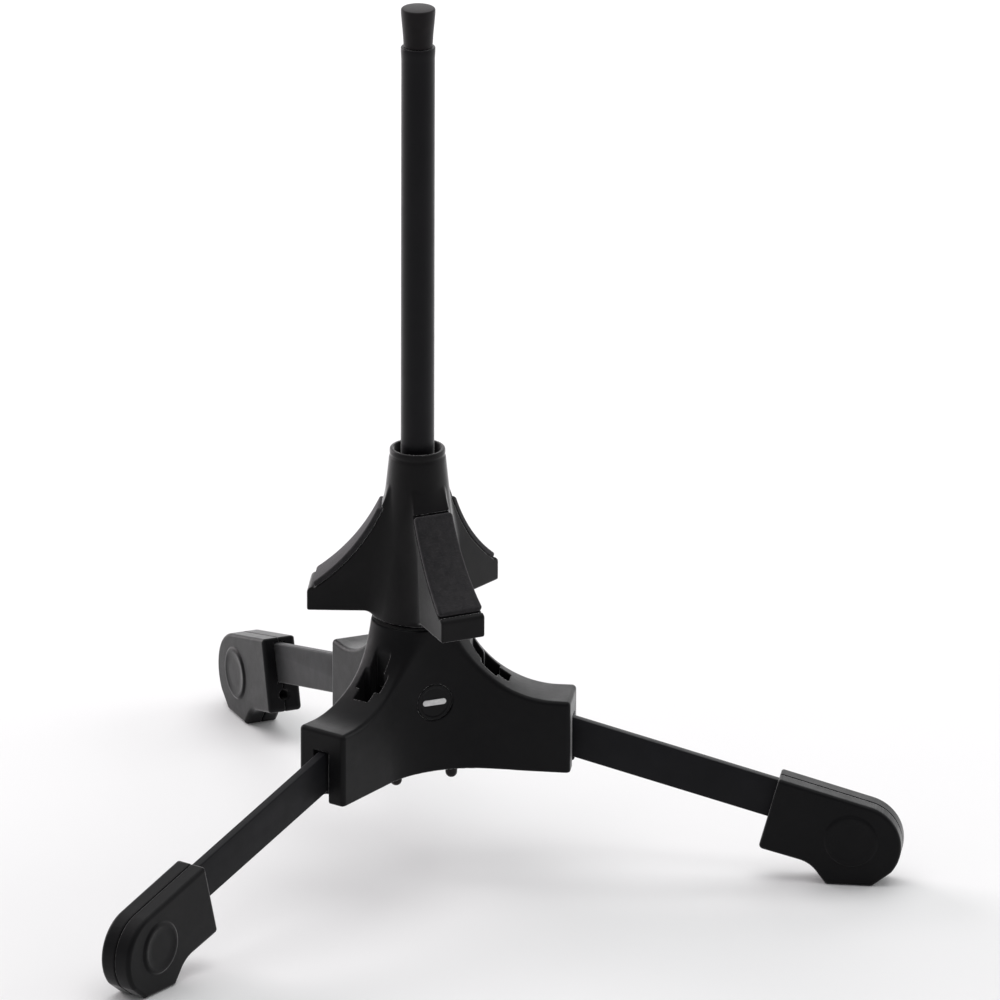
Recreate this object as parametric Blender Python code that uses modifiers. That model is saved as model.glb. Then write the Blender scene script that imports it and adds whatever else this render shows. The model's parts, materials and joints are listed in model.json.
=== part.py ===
"""Folding three-legged stand for a small saxophone.

A moulded hub carries three flat-bar legs that fold down, a cone whose three padded fins hold
the instrument's bell, and a tube that stands up inside the instrument's body.

Sizes are in millimetres and are turned into metres as meshes are made. R is a distance from
the peg's axis, W a distance across a leg, Z a height above the floor. Leg a points along +X.
"""

import math

import bmesh
import bpy
from mathutils import Matrix, Vector

MM = 0.001
GAP = 0.3  # clearance between touching pieces
SPIN = 32  # sides of a large round piece
SMALL_SPIN = 20  # sides of a small round piece
LEGS = ("a", "b", "c")
LEG_AZIMUTHS = (0.0, -120.0, 120.0)

# Legs: flat bars that slope down to the floor
LEG_SLOPE = math.radians(15.4)
BAR_HEIGHT = 17.0
BAR_THICKNESS = 4.0
PIVOT_R = 31.0
PIVOT_Z = 68.4
BAR_END_S = 166.0  # length from the pivot's axis to the outer end
PIVOT_PIN_R = 3.0
PIVOT_PIN_HALF_LENGTH = 5.7

# Feet: two moulded halves round the end of each bar
FOOT_HALF_W = 7.5
FOOT_PARTING = 0.15  # half of the gap between the halves
FOOT_START_S = 124.0
FOOT_TOP_N = 10.9
FOOT_HEEL_N = -21.4
FOOT_NOSE_R = 187.0
FOOT_NOSE_Z = 17.8
FOOT_NOSE_RADIUS = 18.1
SOLE_R = (173.4, 193.0)
ARCH_R, ARCH_Z = 164.5, 8.2
DISC_R, DISC_Z = 184.0, 20.0
DISC_RADIUS = 11.0
DISC_HEIGHT = 0.8
FOOT_PIN_S = 150.0
FOOT_PIN_RADIUS = 2.0
FOOT_PIN_HALF_LENGTH = 5.5
SOCKET_HOLE_N = -14.0
SOCKET_HOLE_RADIUS = 2.3

# Hub: a three-lobed moulding
HUB_Z = (46.0, 109.5)
LOBE_R = 66.0
LOBE_HALF_W = 11.8
LOBE_CORNER = 2.0
PANEL_CENTRE_R = 62.2  # the walls between the lobes' flat sides are hollow cylinders
PANEL_RADIUS = 43.1
RIDGE_CENTRE = (60.0, 118.9)  # R and Z of the arc that the lobes' backs follow
RIDGE_RADIUS = 41.2
CHANNEL_HALF_W = 2.4
CHANNEL_SLACK = 0.4  # between a bar's top edge and the channel's ceiling that stops it
MOUTH_HALF_W = 3.7
MOUTH_R = 58.0
WELL_R = (23.0, 39.0)
WELL_HALF_W = 3.6
WELL_Z = 78.0
SADDLE_HALF_W = 6.0
SADDLE_RADIUS = 3.25
COLUMN_R = 10.5
CAVITY_R = 16.3
CAVITY_TOP_Z = 100.0
BELOW_Z = 40.0  # where cutters that open downwards end
CUTTER_REACH = 8.0  # how far cutters run out past the lobes' ends
SCREW_POST_RADIUS = 4.4
SPIGOT_R = (11.0, 15.9)
SPIGOT_TOP_Z = 118.0

# Base plate, its screws and the bush that the peg screws into
BASE_R = 15.9
BASE_Z = (46.5, 49.4)
SCREW_R = 14.5
SCREW_BOSS_RADIUS = 4.0
SCREW_BOSS_Z = 42.6
SCREW_HEAD_RADIUS = 2.5
SCREW_TIP_Z = 37.7
SCREW_SHANK_RADIUS = 1.5
SCREW_TOP_Z = 63.0
BUSH_RADIUS = 6.0
BUSH_Z = (50.0, 73.5)
BUSH_BORE = 4.3

# Peg
TUBE_R = 7.0
TUBE_WALL = 1.2
TUBE_Z = (78.4, 360.2)
SPIGOT_END_Z = 56.0
SPIGOT_RADIUS = 4.0
PLUG_TOP_Z = 377.2
PLUG_RADII = (6.05, 7.2)  # at its foot and at its flat head
PLUG_STEM = 18.0  # how far it reaches down into the tube

# Bell cone and its pads
CONE_Z = (111.0, 184.3)
CONE_R = (19.0, 11.5)
CONE_WALL = 1.9
RIM_BORE = 10.0
FIN_AZIMUTHS = (62.3, -57.7, 182.3)  # the cone is a loose fit and sits slightly turned
FIN_ROOT_R = 5.0
FIN_END_R = 45.5
FIN_TOP_Z = 168.0
FIN_BASE_Z = 113.7
FIN_HALF_W = (8.6, 10.0)  # at the cone and at the end
FIN_WALL = 2.2
HOLLOW_TOP_Z = 140.0
FLARE_CENTRE = (91.0, 192.3)  # R and Z of the arc that the fins' outer edges follow
PAD_OUTER = 81.7  # radii about that centre
PAD_INNER = 83.8
FIN_EDGE = 83.0
PAD_ANGLES = (math.radians(203.6), math.radians(234.4))
PAD_TAPER_R = (16.0, 44.0)
PAD_HALF_W = (8.3, 9.5)
RECESS_HALF_W = (9.6, 11.0)  # wider than the fins, so the recess is open at its sides
RECESS_REACH = 6.0  # how far its cutter runs out past the pad's face
PAD_MARGIN = 0.35

# Badge on the panel between legs a and b
BADGE_Z = 77.0
BADGE_RADIUS = 7.7
BADGE_R = (18.1, 19.0)

PLASTIC = ("moulded_plastic", (0.020, 0.020, 0.022), 0.62, 0.0)
COATED_STEEL = ("coated_steel", (0.024, 0.025, 0.030), 0.42, 0.4)
BARE_STEEL = ("bare_steel", (0.50, 0.50, 0.51), 0.35, 1.0)
PLUG_RUBBER = ("plug_rubber", (0.022, 0.021, 0.022), 0.75, 0.0)
FELT = ("pad_felt", (0.030, 0.029, 0.030), 0.95, 0.0)
INLAY = ("badge_inlay", (0.045, 0.045, 0.048), 0.5, 0.0)


def clear_scene():
    for obj in list(bpy.data.objects):
        bpy.data.objects.remove(obj)


def new_collection(name):
    collection = bpy.data.collections.new(name)
    bpy.context.scene.collection.children.link(collection)
    return collection


def material_named(finish, name):
    """The object's own Principled BSDF material."""
    label, colour, roughness, metallic = finish
    material = bpy.data.materials.new(f"{name}_{label}")
    material.use_nodes = True
    shader = material.node_tree.nodes["Principled BSDF"]
    shader.inputs["Base Color"].default_value = (*colour, 1.0)
    shader.inputs["Roughness"].default_value = roughness
    shader.inputs["Metallic"].default_value = metallic
    return material


def placed(name, mesh, finish, parent=None, matrix=None):
    """A named object from a mesh. With no finish it is a cutter or a helper shape."""
    obj = bpy.data.objects.new(name, mesh)
    if finish is None:
        CUTTERS.objects.link(obj)
        obj.hide_render = True
        obj.display_type = "WIRE"
    else:
        STAND.objects.link(obj)
        mesh.materials.clear()
        mesh.materials.append(material_named(finish, name))
    if parent is not None:
        obj.parent = parent
    if matrix is not None:
        obj.matrix_basis = matrix
    return obj


def joint_empty(name, parent, location, azimuth=0.0):
    empty = bpy.data.objects.new(name, None)
    STAND.objects.link(empty)
    empty.parent = parent
    empty.location = Vector(location) * MM
    empty.rotation_euler.z = math.radians(azimuth)
    return empty


def turn(azimuth):
    return Matrix.Rotation(math.radians(azimuth), 4, "Z")


def shift(x=0.0, y=0.0, z=0.0):
    return Matrix.Translation(Vector((x, y, z)) * MM)


def turned(name, profile, finish, parent=None, matrix=None, sides=SPIN):
    """A turned solid about Z from (radius, height) points that run down its outer side."""
    mesh = bpy.data.meshes.new(name)
    count = len(profile)
    edges = [(i, i + 1) for i in range(count - 1)]
    if profile[0][0] > 0.0:
        edges.append((count - 1, 0))
    mesh.from_pydata([(r * MM, 0.0, z * MM) for r, z in profile], edges, [])
    obj = placed(name, mesh, finish, parent, matrix)
    screw = obj.modifiers.new("turn", "SCREW")
    screw.steps = sides
    screw.render_steps = sides
    screw.use_merge_vertices = True
    screw.merge_threshold = 0.00001
    return obj


def extruded(name, outline, depth, finish, parent=None, matrix=None, upright=True):
    """A flat outline given depth, centred on its plane.

    An upright outline is drawn in R and Z and its depth runs across, along Y. One that isn't
    is drawn in X and Y and its depth runs along Z.
    """
    curve = bpy.data.curves.new(name, "CURVE")
    curve.dimensions = "2D"
    curve.fill_mode = "BOTH"
    curve.extrude = 0.5 * depth * MM
    spline = curve.splines.new("POLY")
    spline.points.add(len(outline) - 1)
    for point, (x, y) in zip(spline.points, outline):
        point.co = (x * MM, y * MM, 0.0, 1.0)
    spline.use_cyclic_u = True
    guide = bpy.data.objects.new(name + "_outline", curve)
    CUTTERS.objects.link(guide)
    depsgraph = bpy.context.evaluated_depsgraph_get()
    mesh = bpy.data.meshes.new_from_object(guide.evaluated_get(depsgraph))
    bpy.data.objects.remove(guide)
    bm = bmesh.new()
    bm.from_mesh(mesh)
    bmesh.ops.remove_doubles(bm, verts=bm.verts, dist=0.000001)
    if upright:
        bmesh.ops.rotate(bm, verts=bm.verts, matrix=Matrix.Rotation(math.pi / 2, 3, "X"))
    bmesh.ops.recalc_face_normals(bm, faces=bm.faces)
    bm.to_mesh(mesh)
    bm.free()
    return placed(name, mesh, finish, parent, matrix)


def rod(name, radius, length, finish, parent=None, matrix=None, sides=SMALL_SPIN, along="Z"):
    """A cylinder centred on its origin, lying along the named axis."""
    turns = {"X": Matrix.Rotation(math.pi / 2, 4, "Y"), "Y": Matrix.Rotation(math.pi / 2, 4, "X")}
    mesh = bpy.data.meshes.new(name)
    bm = bmesh.new()
    bmesh.ops.create_cone(
        bm,
        cap_ends=True,
        segments=sides,
        radius1=radius * MM,
        radius2=radius * MM,
        depth=length * MM,
        matrix=turns.get(along, Matrix.Identity(4)),
    )
    bm.to_mesh(mesh)
    bm.free()
    return placed(name, mesh, finish, parent, matrix)


def block(name, low, high, finish, parent=None, matrix=None):
    """A box between two corners."""
    size = Vector(high) - Vector(low)
    middle = (Vector(high) + Vector(low)) * 0.5
    mesh = bpy.data.meshes.new(name)
    bm = bmesh.new()
    bmesh.ops.create_cube(bm, size=1.0)
    bmesh.ops.scale(bm, verts=bm.verts, vec=size * MM)
    bmesh.ops.translate(bm, verts=bm.verts, vec=middle * MM)
    bm.to_mesh(mesh)
    bm.free()
    return placed(name, mesh, finish, parent, matrix)


def combine(obj, tool, operation):
    boolean = obj.modifiers.new(tool.name, "BOOLEAN")
    boolean.operation = operation
    boolean.object = tool
    boolean.solver = "EXACT"
    return boolean


def cut(obj, *tools):
    for tool in tools:
        combine(obj, tool, "DIFFERENCE")


def join(obj, *tools):
    for tool in tools:
        combine(obj, tool, "UNION")


def smooth_rounds(obj, degrees=35.0):
    obj.data.shade_smooth()
    obj.data.set_sharp_from_angle(angle=math.radians(degrees))


def arc(centre, radius, start, end, steps):
    """Points on a circle, with the angles in radians and both ends included."""
    angles = [start + (end - start) * i / steps for i in range(steps + 1)]
    return [(centre[0] + radius * math.cos(a), centre[1] + radius * math.sin(a)) for a in angles]


def filleted(corners, steps=3):
    """A closed outline from (x, y, fillet radius) corners."""
    outline = []
    for i, (x, y, radius) in enumerate(corners):
        corner = Vector((x, y))
        if radius <= 0.0:
            outline.append((x, y))
            continue
        before = (Vector(corners[i - 1][:2]) - corner).normalized()
        after = (Vector(corners[(i + 1) % len(corners)][:2]) - corner).normalized()
        half = before.angle(after) / 2
        centre = corner + (before + after).normalized() * (radius / math.sin(half))
        first = corner + before * (radius / math.tan(half)) - centre
        last = corner + after * (radius / math.tan(half)) - centre
        sweep = math.atan2(first.x * last.y - first.y * last.x, first.dot(last))
        start = math.atan2(first.y, first.x)
        outline += arc(centre, radius, start, start + sweep, steps)
    return outline


def on_leg(s, n):
    """R and Z from the pivot for a point s along a leg and n above its centre line."""
    return (
        s * math.cos(LEG_SLOPE) + n * math.sin(LEG_SLOPE),
        -s * math.sin(LEG_SLOPE) + n * math.cos(LEG_SLOPE),
    )


def from_pivot(r, z):
    return (r - PIVOT_R, z - PIVOT_Z)


# ---- legs -------------------------------------------------------------------------------


def leg_bar(tag, pivot):
    half = BAR_HEIGHT / 2
    tail = arc((0.0, 0.0), half, math.pi / 2, 3 * math.pi / 2, 10)
    outline = [on_leg(s, n) for s, n in tail + [(BAR_END_S, -half), (BAR_END_S, half)]]
    bar = extruded(f"leg_bar_{tag}", outline, BAR_THICKNESS, COATED_STEEL, pivot)
    cut(
        bar,
        rod(f"bar_{tag}_pivot_hole", PIVOT_PIN_R + GAP / 2, 20.0, None, pivot, along="Y"),
        rod(
            f"bar_{tag}_foot_hole",
            FOOT_PIN_RADIUS + GAP / 2,
            20.0,
            None,
            pivot,
            foot_pin_place(),
            along="Y",
        ),
    )
    return bar


def foot_pin_place():
    r, z = on_leg(FOOT_PIN_S, 0.0)
    return shift(r, 0.0, z)


def pivot_pin(tag, pivot):
    length = 2 * PIVOT_PIN_HALF_LENGTH
    pin = rod(f"pivot_pin_{tag}", PIVOT_PIN_R, length, BARE_STEEL, pivot, along="Y")
    smooth_rounds(pin)


def foot_pin(tag, pivot):
    length = 2 * FOOT_PIN_HALF_LENGTH
    pin = rod(f"foot_pin_{tag}", FOOT_PIN_RADIUS, length, BARE_STEEL, pivot, foot_pin_place(), 16, "Y")
    smooth_rounds(pin)


def foot_outline():
    """The side view of a foot, from its top inner corner round the nose to its heel."""
    nose = from_pivot(FOOT_NOSE_R, FOOT_NOSE_Z)
    start = math.pi / 2 - LEG_SLOPE
    end = math.radians(-40.0)
    outline = [(*on_leg(FOOT_START_S, FOOT_TOP_N), 0.8)]
    outline += [(x, y, 0.0) for x, y in arc(nose, FOOT_NOSE_RADIUS, start, end, 12)]
    outline.append((*from_pivot(SOLE_R[1], 0.0), 0.0))
    outline.append((*from_pivot(SOLE_R[0], 0.0), 0.0))
    outline.append((*from_pivot(ARCH_R, ARCH_Z), 12.0))
    outline.append((*on_leg(FOOT_START_S, FOOT_HEEL_N), 1.5))
    return filleted(outline)


def foot_half(tag, side, pivot):
    """Half of a foot, on the side of +Y where side is 1."""
    name = f"foot_{tag}_{'left' if side > 0 else 'right'}"
    depth = FOOT_HALF_W - FOOT_PARTING
    middle = side * (FOOT_PARTING + depth / 2)
    half = extruded(name, foot_outline(), depth, PLASTIC, pivot, shift(y=middle))
    disc_x, disc_z = from_pivot(DISC_R, DISC_Z)
    disc = rod(
        f"{name}_disc",
        DISC_RADIUS,
        2 * DISC_HEIGHT,
        None,
        pivot,
        shift(disc_x, side * FOOT_HALF_W, disc_z),
        SPIN,
        "Y",
    )
    hole_r, hole_z = on_leg(FOOT_START_S, SOCKET_HOLE_N)
    along_leg = Matrix.Rotation(LEG_SLOPE, 4, "Y")
    hole = rod(
        f"{name}_hole",
        SOCKET_HOLE_RADIUS,
        24.0,
        None,
        pivot,
        shift(hole_r, 0.0, hole_z) @ along_leg,
        16,
        "X",
    )
    slack = BAR_HEIGHT / 2 + GAP
    pocket = block(
        f"{name}_pocket",
        (FOOT_START_S - 6.0, -BAR_THICKNESS / 2 - GAP, -slack),
        (BAR_END_S + GAP, BAR_THICKNESS / 2 + GAP, slack),
        None,
        pivot,
        along_leg,
    )
    pin_hole = rod(
        f"{name}_pin_hole",
        FOOT_PIN_RADIUS + GAP / 2,
        2 * (FOOT_PIN_HALF_LENGTH + GAP),
        None,
        pivot,
        foot_pin_place(),
        16,
        "Y",
    )
    join(half, disc)
    cut(half, pocket, pin_hole, hole)


def leg(tag, azimuth, root):
    angle = math.radians(azimuth)
    place = (PIVOT_R * math.cos(angle), PIVOT_R * math.sin(angle), PIVOT_Z)
    pivot = joint_empty(f"leg_{tag}_pivot", root, place, azimuth)
    leg_bar(tag, pivot)
    pivot_pin(tag, pivot)
    foot_pin(tag, pivot)
    for side in (1, -1):
        foot_half(tag, side, pivot)


# ---- hub --------------------------------------------------------------------------------


def panel_angle():
    """Half of the angle of the arc between two lobes, whose flat sides run straight on from it."""
    along = LOBE_R * math.cos(math.radians(60)) + LOBE_HALF_W * math.sin(math.radians(60))
    across = LOBE_R * math.sin(math.radians(60)) - LOBE_HALF_W * math.cos(math.radians(60))
    to_corner = math.hypot(PANEL_CENTRE_R - along, across)
    return math.atan2(across, PANEL_CENTRE_R - along) - math.acos(PANEL_RADIUS / to_corner)


def lobed_outline():
    """The hub in plan: three lobes with square ends and flat sides, joined by hollow walls."""
    corners = []
    spread = panel_angle()
    for azimuth in (0.0, 120.0, 240.0):
        direction = Vector((math.cos(math.radians(azimuth)), math.sin(math.radians(azimuth))))
        across = Vector((-direction.y, direction.x))
        for side in (-1, 1):
            corner = direction * LOBE_R + across * (side * LOBE_HALF_W)
            corners.append((corner.x, corner.y, LOBE_CORNER))
        middle = math.radians(azimuth + 60.0)
        centre = (PANEL_CENTRE_R * math.cos(middle), PANEL_CENTRE_R * math.sin(middle))
        start = middle + math.pi + spread
        end = middle + math.pi - spread
        wall = arc(centre, PANEL_RADIUS, start, end, 10)
        corners += [(x, y, 0.0) for x, y in wall]
    return filleted(corners)


def ridge_profile():
    """The hub's top in section, from the axis out over the lobes' backs and down."""
    neck_angle = math.pi + math.asin((RIDGE_CENTRE[1] - HUB_Z[1]) / RIDGE_RADIUS)
    back = arc(RIDGE_CENTRE, RIDGE_RADIUS, neck_angle, 3 * math.pi / 2, 10)
    low = BELOW_Z
    return [(0.0, HUB_Z[1])] + back + [(LOBE_R + 6.0, back[-1][1]), (LOBE_R + 6.0, low), (0.0, low)]


def above_bar(r, slack):
    """The height of a line that runs along a bar at rest, a little above its top edge."""
    return PIVOT_Z + (BAR_HEIGHT / 2 + slack) / math.cos(LEG_SLOPE) - (r - PIVOT_R) * math.tan(LEG_SLOPE)


def channel_outline():
    """The space in a lobe that its leg swings in, open at the bottom and the outer end.

    Its ceiling runs along the bar's top edge, so that the leg stops there as it opens.
    """
    end = LOBE_R + CUTTER_REACH
    return [
        (22.0, BELOW_Z),
        (22.0, 84.0),
        (34.0, 83.0),
        (40.0, 79.0),
        (42.0, above_bar(42.0, CHANNEL_SLACK)),
        (end, above_bar(end, CHANNEL_SLACK)),
        (end, BELOW_Z),
    ]


def cut_leg_openings(hub, tag, azimuth, root):
    """The channel, the cross-shaped opening over the pivot and the seat for the pivot's pin."""
    at = turn(azimuth)
    high = HUB_Z[1] + 5.0
    channel = extruded(f"channel_{tag}", channel_outline(), 2 * CHANNEL_HALF_W, None, root, at)
    end = LOBE_R + CUTTER_REACH + 1.0
    low = BELOW_Z - 1.0
    slack = CHANNEL_SLACK + GAP
    mouth_outline = [(MOUTH_R, low), (MOUTH_R, above_bar(MOUTH_R, slack))]
    mouth_outline += [(end, above_bar(end, slack)), (end, low)]
    mouth = extruded(f"mouth_{tag}", mouth_outline, 2 * MOUTH_HALF_W, None, root, at)
    well = block(
        f"well_{tag}",
        (WELL_R[0], -WELL_HALF_W, WELL_Z),
        (WELL_R[1], WELL_HALF_W, high),
        None,
        root,
        at,
    )
    saddle = [(PIVOT_R - SADDLE_RADIUS, high), (PIVOT_R - SADDLE_RADIUS, PIVOT_Z)]
    saddle += arc((PIVOT_R, PIVOT_Z), SADDLE_RADIUS, math.pi, 2 * math.pi, 10)[1:-1]
    saddle += [(PIVOT_R + SADDLE_RADIUS, PIVOT_Z), (PIVOT_R + SADDLE_RADIUS, high)]
    seat = extruded(f"saddle_{tag}", saddle, 2 * SADDLE_HALF_W, None, root, at)
    cut(hub, channel, mouth, well, seat)


def hub_cavity(root):
    """The space round the hub's column, with a post left standing in it for each screw."""
    floor = BASE_Z[1] + GAP
    profile = [(0.0, floor), (COLUMN_R, floor), (COLUMN_R, CAVITY_TOP_Z), (CAVITY_R, CAVITY_TOP_Z)]
    profile += [(CAVITY_R, BELOW_Z), (0.0, BELOW_Z)]
    cavity = turned("hub_cavity", profile, None, root)
    height = 60.0
    for tag, azimuth in zip(LEGS, LEG_AZIMUTHS):
        place = turn(azimuth) @ shift(SCREW_R, 0.0, floor + 0.4 + height / 2)
        cut(cavity, rod(f"hub_post_{tag}", SCREW_POST_RADIUS, height, None, root, place))
    return cavity


def hub_bore(root):
    """The peg's socket, the hole for its spigot and the pocket for the bush, as one turned shape."""
    step_z = TUBE_Z[0] - GAP
    web_z = BUSH_Z[1] + GAP
    web_r = BUSH_BORE + 0.2
    pocket_r = BUSH_RADIUS + GAP / 2
    top_z = SPIGOT_TOP_Z + 5.0
    profile = [(0.0, top_z), (TUBE_R + GAP, top_z), (TUBE_R + GAP, step_z), (web_r, step_z)]
    profile += [(web_r, web_z), (pocket_r, web_z), (pocket_r, BELOW_Z), (0.0, BELOW_Z)]
    return turned("hub_bore", profile, None, root, turn(3.0))


def hub_body(root):
    height = HUB_Z[1] - HUB_Z[0] + 10.0
    place = shift(z=HUB_Z[0] + height / 2)
    hub = extruded("hub_body", lobed_outline(), height, PLASTIC, root, place, upright=False)
    combine(hub, turned("hub_ridge", ridge_profile(), None, root, sides=48), "INTERSECT")
    spigot = [(SPIGOT_R[1] - 0.2, SPIGOT_TOP_Z), (SPIGOT_R[1], HUB_Z[1] - 3.0)]
    spigot += [(SPIGOT_R[0], HUB_Z[1] - 3.0), (SPIGOT_R[0], SPIGOT_TOP_Z)]
    join(hub, turned("hub_spigot", spigot, None, root, turn(2.0)))
    cut(hub, hub_cavity(root), hub_bore(root))
    for tag, azimuth in zip(LEGS, LEG_AZIMUTHS):
        cut_leg_openings(hub, tag, azimuth, root)
        hole_height = SCREW_TOP_Z + 1.0 - BASE_Z[0]
        hole_place = turn(azimuth) @ shift(SCREW_R, 0.0, BASE_Z[0] + hole_height / 2)
        radius = SCREW_SHANK_RADIUS + GAP / 2
        cut(hub, rod(f"hub_hole_{tag}", radius, hole_height, None, root, hole_place, 12))
        corner_height = BASE_Z[1] + GAP + 0.2 - BELOW_Z
        corner_place = turn(azimuth) @ shift(SCREW_R, 0.0, BELOW_Z + corner_height / 2)
        radius = SCREW_BOSS_RADIUS + GAP
        cut(hub, rod(f"hub_corner_{tag}", radius, corner_height, None, root, corner_place, 24))
    recess_place = turn(-60.0) @ shift(BADGE_R[0] - GAP / 2 + 3.0, 0.0, BADGE_Z)
    cut(hub, rod("badge_recess", BADGE_RADIUS + GAP, 6.0, None, root, recess_place, 24, "X"))
    smooth_rounds(hub)


def badge_disc(root):
    middle = (BADGE_R[0] + BADGE_R[1]) / 2
    place = turn(-60.0) @ shift(middle, 0.0, BADGE_Z)
    disc = rod("badge_disc", BADGE_RADIUS, BADGE_R[1] - BADGE_R[0], INLAY, root, place, 24, "X")
    smooth_rounds(disc)


def base_plate(root):
    """The disc that closes the hub from below, with a boss for each of its screws."""
    profile = [(BASE_R, BASE_Z[1]), (BASE_R, BASE_Z[0]), (3.0, BASE_Z[0]), (3.0, BASE_Z[1])]
    plate = turned("base_plate", profile, PLASTIC, root)
    for tag, azimuth in zip(LEGS, LEG_AZIMUTHS):
        height = BASE_Z[1] - 0.2 - SCREW_BOSS_Z
        place = turn(azimuth) @ shift(SCREW_R, 0.0, SCREW_BOSS_Z + height / 2)
        join(plate, rod(f"plate_boss_{tag}", SCREW_BOSS_RADIUS, height, None, root, place))
    for tag, azimuth in zip(LEGS, LEG_AZIMUTHS):
        place = turn(azimuth) @ shift(SCREW_R, 0.0, BASE_Z[0])
        cut(plate, rod(f"plate_hole_{tag}", SCREW_SHANK_RADIUS + GAP, 20.0, None, root, place, 12))


def base_screw(tag, azimuth, root):
    """A screw with a tall domed head, its tip pointing at the floor."""
    dome = arc((0.0, SCREW_TIP_Z + SCREW_HEAD_RADIUS), SCREW_HEAD_RADIUS, 0.0, -math.pi / 2, 4)
    seat = SCREW_BOSS_Z - GAP
    profile = [(0.0, SCREW_TOP_Z), (SCREW_SHANK_RADIUS, SCREW_TOP_Z), (SCREW_SHANK_RADIUS, seat)]
    profile += [(SCREW_HEAD_RADIUS, seat)] + dome[:-1] + [(0.0, SCREW_TIP_Z)]
    place = turn(azimuth) @ shift(SCREW_R)
    screw = turned(f"base_screw_{tag}", profile, BARE_STEEL, root, place, 16)
    smooth_rounds(screw)


def thread_bush(root):
    profile = [(BUSH_RADIUS, BUSH_Z[1]), (BUSH_RADIUS, BUSH_Z[0])]
    profile += [(BUSH_BORE, BUSH_Z[0]), (BUSH_BORE, BUSH_Z[1])]
    turned("thread_bush", profile, BARE_STEEL, root, sides=24)


# ---- peg --------------------------------------------------------------------------------


def peg(root):
    joint = joint_empty("peg_joint", root, (0.0, 0.0, 0.0))
    inner = TUBE_R - TUBE_WALL
    tube = [(TUBE_R, TUBE_Z[1]), (TUBE_R, TUBE_Z[0]), (inner, TUBE_Z[0]), (inner, TUBE_Z[1])]
    turned("peg_tube", tube, COATED_STEEL, joint)
    fit = inner - GAP / 2
    insert = [(0.0, TUBE_Z[0] + 22.0), (fit, TUBE_Z[0] + 22.0), (fit, TUBE_Z[0])]
    insert += [(SPIGOT_RADIUS, TUBE_Z[0]), (SPIGOT_RADIUS, SPIGOT_END_Z), (0.0, SPIGOT_END_Z)]
    turned("peg_insert", insert, BARE_STEEL, joint, sides=24)
    low, high = TUBE_Z[1], PLUG_TOP_Z
    plug = [(0.0, high), (5.6, high - 0.2), (6.8, high - 0.7), (PLUG_RADII[1], high - 1.6)]
    plug += [(PLUG_RADII[1] - 0.05, high - 3.0), (PLUG_RADII[0] + 0.25, low + 5.0)]
    plug += [(PLUG_RADII[0], low + GAP), (fit, low + GAP), (fit, low - PLUG_STEM), (0.0, low - PLUG_STEM)]
    turned("peg_end_plug", plug, PLUG_RUBBER, joint)


# ---- bell cone --------------------------------------------------------------------------


def cone_radius(z):
    share = (z - CONE_Z[0]) / (CONE_Z[1] - CONE_Z[0])
    return CONE_R[0] + (CONE_R[1] - CONE_R[0]) * share


def flare_angle_at_r(radius, r):
    """The angle about the flare's centre at which an arc of that radius reaches R, below it."""
    return math.pi + math.acos((FLARE_CENTRE[0] - r) / radius)


def flare_angle_at_z(radius, z):
    return math.pi + math.asin((FLARE_CENTRE[1] - z) / radius)


def taper(obj, widths, start, end):
    """Scales a fin-shaped mesh across so that its half width goes from widths[0] to widths[1]."""
    for vertex in obj.data.vertices:
        share = (vertex.co.x / MM - start) / (end - start)
        share = min(max(share, 0.0), 1.0)
        vertex.co.y *= (widths[0] + (widths[1] - widths[0]) * share) / widths[1]


def fin_shape(name, joint, azimuth):
    top = flare_angle_at_z(FIN_EDGE, FIN_TOP_Z)
    end = flare_angle_at_r(FIN_EDGE, FIN_END_R)
    outline = [(FIN_ROOT_R, FIN_TOP_Z)] + arc(FLARE_CENTRE, FIN_EDGE, top, end, 12)
    outline += [(FIN_END_R, FIN_BASE_Z), (FIN_ROOT_R, FIN_BASE_Z)]
    fin = extruded(name, outline, 2 * FIN_HALF_W[1], None, joint, turn(azimuth))
    taper(fin, FIN_HALF_W, CONE_R[0], FIN_END_R)
    return fin


def fin_hollow(name, joint, azimuth):
    """The space inside a fin, open at its underside."""
    inner = PAD_INNER + GAP + FIN_WALL
    end_r = FIN_END_R - FIN_WALL
    top, end = flare_angle_at_z(inner, HOLLOW_TOP_Z), flare_angle_at_r(inner, end_r)
    outline = [(cone_radius(FIN_BASE_Z) + 0.6, FIN_BASE_Z - 5.0)]
    outline += [(cone_radius(HOLLOW_TOP_Z) + 0.6, HOLLOW_TOP_Z)]
    outline += arc(FLARE_CENTRE, inner, top, end, 8) + [(end_r, FIN_BASE_Z - 5.0)]
    widths = [w - FIN_WALL for w in FIN_HALF_W]
    hollow = extruded(name, outline, 2 * widths[1], None, joint, turn(azimuth))
    taper(hollow, widths, CONE_R[0], FIN_END_R)
    return hollow


def pad_block(name, finish, joint, azimuth, radii, half_widths, margin):
    """A block bent along a fin's edge, longer than the pad by the margin at each end."""
    slack = margin / PAD_INNER
    start, end = PAD_ANGLES[0] - slack, PAD_ANGLES[1] + slack
    outline = arc(FLARE_CENTRE, radii[0], start, end, 12) + arc(FLARE_CENTRE, radii[1], end, start, 12)
    block = extruded(name, outline, 2 * half_widths[1], finish, joint, turn(azimuth))
    taper(block, half_widths, *PAD_TAPER_R)
    return block


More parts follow.
